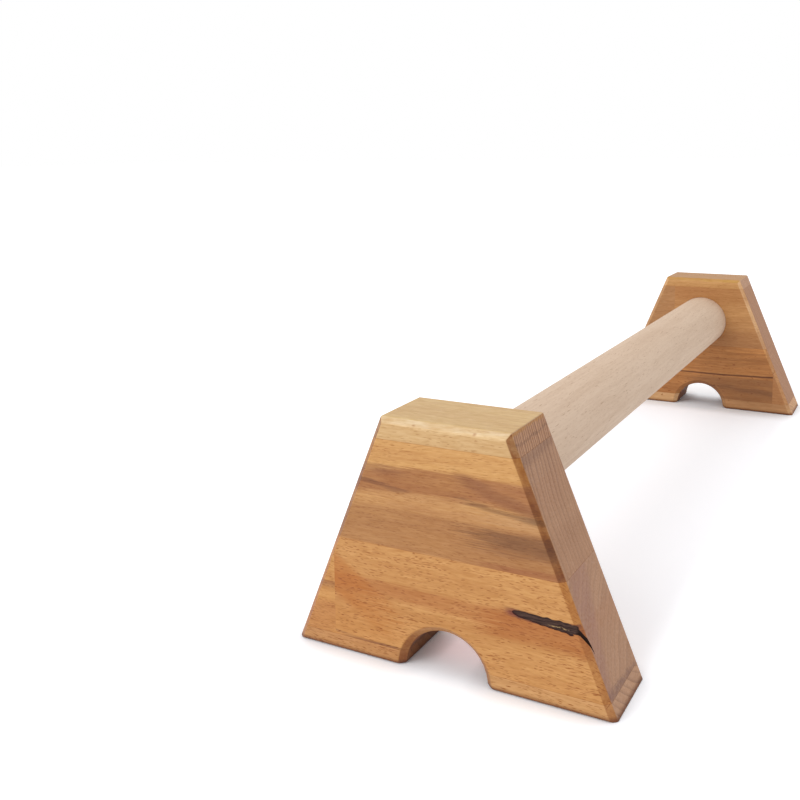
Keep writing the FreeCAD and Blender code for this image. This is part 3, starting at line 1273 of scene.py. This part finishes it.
def finger_tool(plan, stave, settings):
    """Everything beyond a stave's finger joint: straight on both faces, zigzag through the thickness."""
    end_node = plan.name + "_" + stave + "_end"
    end_low, end_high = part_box(end_node)
    side = math.copysign(1.0, end_low.x + end_high.x)
    line_x = end_low.x if side > 0 else end_high.x
    tip_x = line_x + side * settings.finger_length
    if stave == "lower_stave":
        line_x, tip_x = tip_x, line_x
    far_x = side * 2 * plan.base_half
    margin = settings.finger_pitch
    count = round((plan.y_high - plan.y_low) / settings.finger_pitch)
    points = [(far_x, plan.y_low - margin), (line_x, plan.y_low - margin), (line_x, plan.y_low)]
    for finger in range(count):
        start = plan.y_low + finger * settings.finger_pitch
        points.append((tip_x, start + settings.finger_pitch / 2))
        points.append((line_x, start + settings.finger_pitch))
    points += [(line_x, plan.y_high + margin), (far_x, plan.y_high + margin)]
    loops = [[(x, y, z) for x, y in points] for z in (-margin, plan.height + margin)]
    return piece_from(loft(loops), "finger_tool")


def socket_tool(plan, settings):
    """The bar's blind hole, with a slightly wider mouth."""
    low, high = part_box("grip_bar")
    radius = (high.x - low.x) / 2
    bottom = low.y if plan.front else high.y
    mouth = plan.y_high if plan.front else plan.y_low
    depth = abs(mouth - bottom)
    rim = radius + settings.socket_rim
    rim_depth = settings.socket_rim_depth
    profile = [(0, radius), (depth - rim_depth, radius), (depth - rim_depth, rim), (depth + rim_depth, rim)]
    steps = bpy.context.scene.parallette_bar.round_steps
    axis = ALONG if plan.front else -ALONG
    centre = Vector((0, bottom, (high.z + low.z) / 2))
    return piece_from(lathe(profile, centre, axis, steps), "socket_tool")


def screw_tool(plan):
    """The lock screw's hole, opened downwards by its round recess."""
    steps = 40
    point_radius = 0.3 * MM
    screw = bpy.context.scene.parallette_screw
    low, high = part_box(plan.name + "_lock_screw")
    head = (high.x - low.x) / 2
    cone = head - screw.shank_radius
    centre = Vector(((high.x + low.x) / 2, (high.y + low.y) / 2, low.z))
    profile = [
        (-plan.arch_radius / 2, head),
        (screw.head_rim, head),
        (screw.head_rim + cone, screw.shank_radius),
        (high.z - low.z - screw.tip_length, screw.shank_radius),
        (high.z - low.z, point_radius),
    ]
    return piece_from(lathe(profile, centre, UP, steps), "screw_tool")


# the bark pocket's middle line: x, depth below the face, z and half width, in millimetres
BARK_ROUTE = [
    (31.3, 0.0, 36.8, 0.25),
    (32.2, 0.0, 36.7, 0.9),
    (34.0, 0.0, 36.5, 1.4),
    (39.0, 0.0, 36.1, 1.6),
    (45.0, 0.0, 35.6, 1.85),
    (51.0, 0.0, 35.2, 2.15),
    (55.5, 0.0, 34.9, 2.3),
    (58.1, 0.1, 34.7, 2.25),
    (58.6, 0.3, 34.3, 1.4),
    (59.8, 1.1, 33.2, 1.0),
    (61.6, 2.0, 31.0, 0.95),
    (63.3, 2.9, 28.0, 0.65),
    (64.7, 3.7, 25.0, 0.15),
]


def bark_tool(plan):
    """A ragged trench along a pocket of bark in the face, thinning to a crack that runs down the side."""
    pieces = 8
    spokes = 20
    raggedness = 0.3
    ragged_scale = 0.4
    depth_share = 0.6
    stations = []
    for first, second in zip(BARK_ROUTE, BARK_ROUTE[1:]):
        stations += [Vector(first).lerp(Vector(second), number / pieces) for number in range(pieces)]
    stations.append(Vector(BARK_ROUTE[-1]))
    loops = []
    for number, (x, depth, z, width) in enumerate(stations):
        centre = Vector((x * MM, plan.y_low + depth * MM, z * MM))
        before = stations[max(number - 1, 0)]
        after = stations[min(number + 1, len(stations) - 1)]
        run = (Vector(after[:3]) - Vector(before[:3])).normalized()
        across = run.cross(ALONG).normalized()
        into = across.cross(run)
        ring = []
        for spoke in range(spokes):
            angle = 2 * math.pi * spoke / spokes
            spot = Vector((x * ragged_scale, math.cos(angle), math.sin(angle)))
            radius = width * MM * (1 + raggedness * noise.noise(spot))
            ring.append(centre + (across * math.cos(angle) + into * depth_share * math.sin(angle)) * radius)
        loops.append(ring)
    return piece_from(loft(loops), "bark_tool", bark_rind())


def build_block(name):
    """All the staves of one end block."""
    settings = bpy.context.scene.parallette_block
    plan = BlockPlan(name)
    figures = FRONT_FIGURES if plan.front else REAR_FIGURES
    for stave, figure in figures.items():
        node = name + "_" + stave
        low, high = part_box(node)
        bm = plan.blank(settings)
        keep_side(bm, UP * low.z, UP)
        keep_side(bm, UP * high.z, -UP)
        if stave.endswith("foot"):
            keep_side(bm, Vector((0, 0, 0)), ACROSS * math.copysign(1.0, low.x + high.x))
        wood = stave_wood(node + "_wood", figure, plan.y_low, low.z, high.z, plan.arch_radius)
        piece = piece_from(bm, node + "_timber", wood)
        whole_stave = stave.removesuffix("_end")
        if whole_stave + "_end" in figures:
            operation = "DIFFERENCE" if stave == whole_stave else "INTERSECT"
            cut(piece, finger_tool(plan, whole_stave, settings), operation)
        if whole_stave == "upper_stave":
            cut(piece, socket_tool(plan, settings))
        if stave in ("upper_stave", "lower_stave"):
            cut(piece, screw_tool(plan))
        if stave == "lower_stave" and plan.front:
            cut(piece, bark_tool(plan))
        finish_piece(piece, node)


# grip bar and lock screws, made with geometry nodes


def geometry_tree(name, inputs):
    """A geometry node tree for a modifier."""
    bench, given, put = new_group("GeometryNodeTree", name, inputs, {"Geometry": GEOMETRY})
    bench.tree.is_modifier = True
    return bench, given, put


def grow(tree, name, values):
    """A piece made by a geometry node tree from these values, as a plain mesh."""
    piece = link(bpy.data.meshes.new(name), name)
    modifier = piece.modifiers.new("Shape", "NODES")
    modifier.node_group = tree
    for item in tree.interface.items_tree:
        if item.in_out == "INPUT":
            modifier[item.identifier] = values[item.name]
    settle(piece)
    return piece


def close_shape(bench, shape, material, put):
    """End a tree: real geometry with its material on it."""
    real = bench.node("GeometryNodeRealizeInstances", {"Geometry": shape}).outputs[0]
    dressed = bench.node("GeometryNodeSetMaterial", {"Geometry": real, "Material": material}).outputs[0]
    bench.feed(put["Geometry"], dressed)


def circle(bench, steps):
    """A ring with a radius of 1."""
    return bench.node("GeometryNodeCurvePrimitiveCircle", {"Resolution": steps, "Radius": 1.0}).outputs[0]


def path_along(bench, count, place):
    """A path of some points, each put in its place by its number."""
    line = bench.node("GeometryNodeCurvePrimitiveLine").outputs[0]
    line = bench.node("GeometryNodeResampleCurve", {"Curve": line, "Count": count}, mode="COUNT").outputs[0]
    return bench.node("GeometryNodeSetPosition", {"Geometry": line, "Position": place}).outputs[0]


def swept(bench, path, ring, radius=1.0):
    """A closed solid: a ring drawn along a path, at each point's own radius."""
    values = {"Curve": path, "Profile Curve": ring, "Fill Caps": True, "Scale": radius}
    return bench.node("GeometryNodeCurveToMesh", values).outputs[0]


def bored(bench, solid, tool):
    """A solid with a tool's shape taken out of it."""
    values = {"Mesh 1": solid, "Mesh 2": tool}
    return bench.node("GeometryNodeMeshBoolean", values, operation="DIFFERENCE", solver="EXACT").outputs[0]


def bar_tree():
    """A round bar along Y with chamfered ends and two screw holes in its underside."""
    sizes = ("Length", "Radius", "Axis Height", "End Chamfer", "Hole Radius", "Hole Top", "Hole Place")
    inputs = sockets(FLOAT, *sizes) | {"Round Steps": WHOLE, "Material": MATERIAL}
    bench, given, put = geometry_tree("Grip Bar", inputs)

    # four rings: a smaller one at each end and one past each chamfer
    ring_count = 4
    middle = (ring_count - 1) / 2
    side = bench.minus(bench.node("GeometryNodeInputIndex").outputs[0], middle)
    inner = bench.minus(middle, bench.maths("ABSOLUTE", side))
    half = bench.times(given["Length"], 0.5)
    reach = bench.minus(half, bench.times(given["End Chamfer"], inner))
    place = bench.join(0.0, bench.times(bench.maths("SIGN", side), reach), given["Axis Height"])
    radius = bench.minus(given["Radius"], bench.times(given["End Chamfer"], bench.rest(inner)))
    ring = circle(bench, given["Round Steps"])
    solid = swept(bench, path_along(bench, ring_count, place), ring, radius)

    # the drills are turned half a step, so that no corner of theirs meets an edge of the bar
    drill_steps = 32
    turn = (0.0, 0.0, math.pi / drill_steps)
    for end in (-1.0, 1.0):
        size = {"Vertices": drill_steps, "Radius": given["Hole Radius"], "Depth": given["Hole Top"]}
        drill = bench.node("GeometryNodeMeshCylinder", size).outputs[0]
        spot = bench.join(0.0, bench.times(given["Hole Place"], end), bench.times(given["Hole Top"], 0.5))
        moves = {"Geometry": drill, "Translation": spot, "Rotation": turn}
        solid = bored(bench, solid, bench.node("GeometryNodeTransform", moves).outputs[0])
    close_shape(bench, solid, given["Material"], put)
    return bench.tree


# the settings that the screw's tree takes as they are
SCREW_SIZES = (
    "head_rim", "shank_radius", "core_radius", "tip_length", "thread_pitch", "drive_radius", "drive_depth",
)


def screw_tree():
    """A countersunk wood screw that stands on its head: six-lobed socket, cone, threaded core and point."""
    sizes = ["Length", "Head Radius"] + [label_of(name) for name in SCREW_SIZES]
    inputs = {"Place": VECTOR, "Material": MATERIAL} | sockets(FLOAT, *sizes)
    bench, given, put = geometry_tree("Lock Screw", inputs)
    cone = bench.minus(given["Head Radius"], given["Core Radius"])
    neck = bench.plus(given["Head Rim"], cone)
    climb = bench.minus(given["Length"], neck)

    # rings 0 and 1 are the head's rim, ring 2 is the neck and the rest climb to the point
    neck_ring = 2
    rows_in_turn = 12
    round_steps = 48
    tip_radius = 0.2 * MM
    rows = bench.maths("FLOOR", bench.times(bench.over(climb, given["Thread Pitch"]), rows_in_turn))
    number = bench.node("GeometryNodeInputIndex").outputs[0]
    past_rim = bench.maths("GREATER_THAN", number, 0.5)
    past_neck = bench.maths("GREATER_THAN", number, neck_ring - 0.5)
    share = bench.over(bench.minus(number, neck_ring), rows)
    above = bench.graded(share, climb, cone)
    height = bench.plus(bench.times(past_rim, given["Head Rim"]), bench.times(past_neck, above))
    left = bench.maths("MINIMUM", bench.over(bench.minus(given["Length"], height), given["Tip Length"]), 1.0)
    core = bench.graded(left, bench.minus(given["Core Radius"], tip_radius), tip_radius)
    radius = bench.graded(past_neck, bench.minus(core, given["Head Radius"]), given["Head Radius"])
    path = path_along(bench, bench.plus(rows, neck_ring + 1), bench.join(0.0, 0.0, height))
    body = swept(bench, path, circle(bench, round_steps), radius)

    # the thread stands out where a row's height matches its angle round the core
    thread_steepness = 6.0
    spot = bench.node("GeometryNodeInputPosition").outputs[0]
    at = bench.split(spot)
    angle = bench.maths("ARCTAN2", at["Y"], at["X"])
    turn = bench.over(bench.minus(at["Z"], neck), given["Thread Pitch"])
    phase = bench.maths("FRACT", bench.minus(turn, bench.over(angle, math.tau)))
    flank = bench.maths("ABSOLUTE", bench.times(bench.minus(phase, 0.5), thread_steepness))
    start = bench.maths("MULTIPLY", turn, 1.0, clamp=True)
    end = bench.maths("DIVIDE", bench.minus(given["Length"], at["Z"]), given["Tip Length"], clamp=True)
    crest = bench.times(bench.minus(given["Shank Radius"], given["Core Radius"]), start, end)
    stand = bench.times(crest, bench.maths("MAXIMUM", bench.rest(flank), 0.0))
    out = bench.vector("NORMALIZE", bench.join(at["X"], at["Y"], 0.0))
    offset = bench.stretch(out, bench.join(stand, stand, 0.0))
    body = bench.node("GeometryNodeSetPosition", {"Geometry": body, "Offset": offset}).outputs[0]

    # a ring of six lobes, drawn into the head
    lobe_count = 6.0
    lobe_steps = 72
    lobe_rise = 0.1875
    wave = bench.maths("COSINE", bench.times(angle, lobe_count))
    swell = bench.times(bench.graded(wave, lobe_rise, 1 + lobe_rise), given["Drive Radius"])
    lobed = bench.stretch(spot, bench.join(swell, swell, 0.0))
    values = {"Geometry": circle(bench, lobe_steps), "Position": lobed}
    star = bench.node("GeometryNodeSetPosition", values).outputs[0]
    deep = bench.join(0.0, 0.0, given["Drive Depth"])
    outside = bench.stretch(deep, (0.0, 0.0, -1.0))
    bore = bench.node("GeometryNodeCurvePrimitiveLine", {"Start": outside, "End": deep}).outputs[0]
    body = bored(bench, body, swept(bench, bore, star))
    placed = bench.node("GeometryNodeTransform", {"Geometry": body, "Translation": given["Place"]}).outputs[0]
    close_shape(bench, placed, given["Material"], put)
    return bench.tree


def build_bar():
    """The grip bar, from its node's box."""
    settings = bpy.context.scene.parallette_bar
    low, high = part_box("grip_bar")
    screw_low, screw_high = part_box("rear_block_lock_screw")
    values = {
        "Length": high.y - low.y,
        "Radius": (high.x - low.x) / 2,
        "Axis Height": (high.z + low.z) / 2,
        "End Chamfer": settings.end_chamfer,
        "Round Steps": settings.round_steps,
        "Hole Radius": bpy.context.scene.parallette_screw.shank_radius,
        "Hole Top": screw_high.z,
        "Hole Place": (screw_high.y + screw_low.y) / 2,
        "Material": bar_wood(),
    }
    finish_piece(grow(bar_tree(), "grip_bar_dowel", values), "grip_bar")


def build_screws():
    """Both lock screws, from their nodes' boxes."""
    hard_angle = math.radians(30)
    settings = bpy.context.scene.parallette_screw
    tree = screw_tree()
    values = {label_of(name): getattr(settings, name) for name in SCREW_SIZES}
    values["Material"] = screw_steel()
    for block in ("front_block", "rear_block"):
        node = block + "_lock_screw"
        low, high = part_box(node)
        values["Place"] = Vector(((high.x + low.x) / 2, (high.y + low.y) / 2, low.z))
        values["Length"] = high.z - low.z
        values["Head Radius"] = (high.x - low.x) / 2
        finish_piece(grow(tree, node + "_turned", values), node, hard_angle)


# stage


def build_camera(settings):
    """The photo's own camera."""
    data = bpy.data.cameras.new("camera")
    data.lens = settings.lens
    data.sensor_width = settings.sensor
    data.shift_y = settings.shift
    camera = link(data, "camera")
    turn = Matrix.Rotation(settings.heading, 4, "Z")
    turn = turn @ Matrix.Rotation(math.pi / 2 + settings.tilt, 4, "X")
    turn = turn @ Matrix.Rotation(settings.roll, 4, "Z")
    camera.matrix_world = Matrix.Translation(settings.place) @ turn
    bpy.context.scene.camera = camera


def seen_directly(bench):
    """1 for rays that show the stage itself, straight or in glossy or clear things, and 0 for its light."""
    rays = bench.node("ShaderNodeLightPath").outputs
    shown = bench.maths("MAXIMUM", rays["Is Camera Ray"], rays["Is Glossy Ray"])
    return bench.maths("MAXIMUM", shown, rays["Is Transmission Ray"])


def floor_glow(bench, spot, settings):
    """The white that the floor adds to its own shade: full round the object, and less under its blocks."""
    edge_ramp = (-10 * MM, 8 * MM)
    brow_ramp = (24 * MM, 8 * MM)
    brow_shade = 0.5
    arch_sides = (24 * MM, 16 * MM)
    arch_front = (2 * MM, 26 * MM)
    arch_back = (42 * MM, 36 * MM)
    inside_tint = (1.0, 0.97, 1.0)
    outside_tint = (0.96, 1.0, 1.02)
    far_y = CAD_BOX[1].y
    shade_y = far_y - settings.rear_shade
    at = bench.split(spot)
    depth = bench.plus(at["Y"], far_y)
    beyond = bench.split(bench.vector("SUBTRACT", bench.vector("ABSOLUTE", spot), CAD_BOX[1]))
    outside = bench.step(bench.maths("MAXIMUM", beyond["X"], beyond["Y"]), *edge_ramp)
    outside = bench.maths("MAXIMUM", outside, bench.step(at["Y"], far_y - settings.rear_glow, far_y))
    rear = bench.step(at["Y"], shade_y, shade_y + settings.rear_fade)
    brow = bench.times(bench.step(depth, *brow_ramp), brow_shade)
    under = bench.times(bench.maths("MAXIMUM", rear, brow), bench.rest(outside))
    white = bench.graded(outside, settings.front_lift, settings.floor_lift)
    white = bench.times(white, bench.rest(under))
    tint = bench.blend(outside, inside_tint, outside_tint)
    glow = bench.stretch(tint, bench.join(white, white, white))
    arch = bench.step(bench.maths("ABSOLUTE", at["X"]), *arch_sides)
    arch = bench.times(arch, bench.step(depth, *arch_front), bench.step(depth, *arch_back))
    return bench.blend(arch, glow, settings.arch_glow, "ADD")


def build_floor(settings):
    """A paper floor that fades to plain white and keeps the soft shadows."""
    bm = bmesh.new()
    bmesh.ops.create_grid(bm, x_segments=1, y_segments=1, size=settings.floor_size / 2)
    material, bench, shader, given = new_material("floor_paper")
    fade_power = 2.0
    nodes = material.node_tree.nodes
    nodes.remove(shader)
    paper = bench.node("ShaderNodeBsdfDiffuse", {"Color": settings.floor_white}).outputs[0]
    open_sky = bench.node("ShaderNodeAmbientOcclusion", {"Distance": settings.floor_reach}, samples=8)
    lift = bench.times(seen_directly(bench), bench.maths("POWER", open_sky.outputs["AO"], fade_power))
    colour = floor_glow(bench, given["Object"], settings)
    glow = bench.node("ShaderNodeEmission", {"Color": colour, "Strength": lift}).outputs[0]
    both = bench.in_order("ShaderNodeAddShader", (paper, glow)).outputs[0]
    bench.feed(nodes["Material Output"].inputs["Surface"], both)
    piece_from(bm, "floor", material)


def build_light(settings):
    """An even white tent with one broad lamp from the upper left."""
    white = (1.0, 1.0, 1.0)
    world = bpy.data.worlds.new("white_tent")
    world.use_nodes = True
    bpy.context.scene.world = world
    bench = NodeBench(world.node_tree)
    shown = seen_directly(bench)
    level = bench.node("ShaderNodeMapRange", {"Value": shown, "To Min": settings.tent_level}).outputs[0]
    tent = world.node_tree.nodes["Background"]
    bench.feed(tent.inputs["Color"], bench.blend(shown, settings.tent_colour, white))
    bench.feed(tent.inputs["Strength"], level)
    data = bpy.data.lights.new("broad_lamp", "SUN")
    data.energy = settings.lamp_level
    data.angle = settings.lamp_spread
    lamp = link(data, "broad_lamp")
    lamp.rotation_mode = "QUATERNION"
    lamp.rotation_quaternion = Vector(settings.lamp_from).to_track_quat("Z", "Y")


# operators


class PARALLETTE_OT_end_block(bpy.types.Operator):
    """Build the staves of one end block"""

    bl_idname = "parallette.end_block"
    bl_label = "End Block"

    block: EnumProperty(
        name="Block",
        description="Which end block to build",
        items=[("front_block", "Front block", "Near block"), ("rear_block", "Rear block", "Far block")],
        default="front_block",
    )

    def execute(self, context):
        build_block(self.block)
        return {"FINISHED"}


class PARALLETTE_OT_grip_bar(bpy.types.Operator):
    """Build the round bar between the blocks"""

    bl_idname = "parallette.grip_bar"
    bl_label = "Grip Bar"

    def execute(self, context):
        build_bar()
        return {"FINISHED"}


class PARALLETTE_OT_lock_screws(bpy.types.Operator):
    """Build the two screws that lock the bar"""

    bl_idname = "parallette.lock_screws"
    bl_label = "Lock Screws"

    def execute(self, context):
        build_screws()
        return {"FINISHED"}


class PARALLETTE_OT_stage(bpy.types.Operator):
    """Build the floor, the light and the camera"""

    bl_idname = "parallette.stage"
    bl_label = "Stage"

    def execute(self, context):
        settings = context.scene.parallette_stage
        context.scene.view_settings.view_transform = "Standard"
        build_floor(settings)
        build_light(settings)
        build_camera(settings)
        return {"FINISHED"}


class PARALLETTE_PT_panel(bpy.types.Panel):
    """Lists the pieces of the parallette bar"""

    bl_idname = "PARALLETTE_PT_panel"
    bl_label = "Parallette Bar"
    bl_space_type = "VIEW_3D"
    bl_region_type = "UI"
    bl_category = "Parallette"

    def draw(self, context):
        for operator in OPERATORS:
            self.layout.operator(operator.bl_idname)
        for name in SETTINGS:
            box = self.layout.box()
            group = getattr(context.scene, name)
            for key in group.__annotations__:
                box.prop(group, key)


OPERATORS = (
    PARALLETTE_OT_end_block,
    PARALLETTE_OT_grip_bar,
    PARALLETTE_OT_lock_screws,
    PARALLETTE_OT_stage,
)

SETTINGS = {
    "parallette_block": EndBlockSettings,
    "parallette_bar": GripBarSettings,
    "parallette_screw": LockScrewSettings,
    "parallette_wood": WoodSettings,
    "parallette_stage": StageSettings,
}


def register():
    for group in SETTINGS.values():
        bpy.utils.register_class(group)
    for operator in OPERATORS:
        bpy.utils.register_class(operator)
    bpy.utils.register_class(PARALLETTE_PT_panel)
    for name, group in SETTINGS.items():
        setattr(bpy.types.Scene, name, PointerProperty(type=group))


def unregister():
    for name in SETTINGS:
        delattr(bpy.types.Scene, name)
    bpy.utils.unregister_class(PARALLETTE_PT_panel)
    for operator in reversed(OPERATORS):
        bpy.utils.unregister_class(operator)
    for group in reversed(SETTINGS.values()):
        bpy.utils.unregister_class(group)


def main():
    register()
    make_effects()
    bpy.ops.parallette.stage()
    bpy.ops.parallette.end_block(block="front_block")
    bpy.ops.parallette.end_block(block="rear_block")
    bpy.ops.parallette.grip_bar()
    bpy.ops.parallette.lock_screws()


if __name__ == "__main__":
    main()
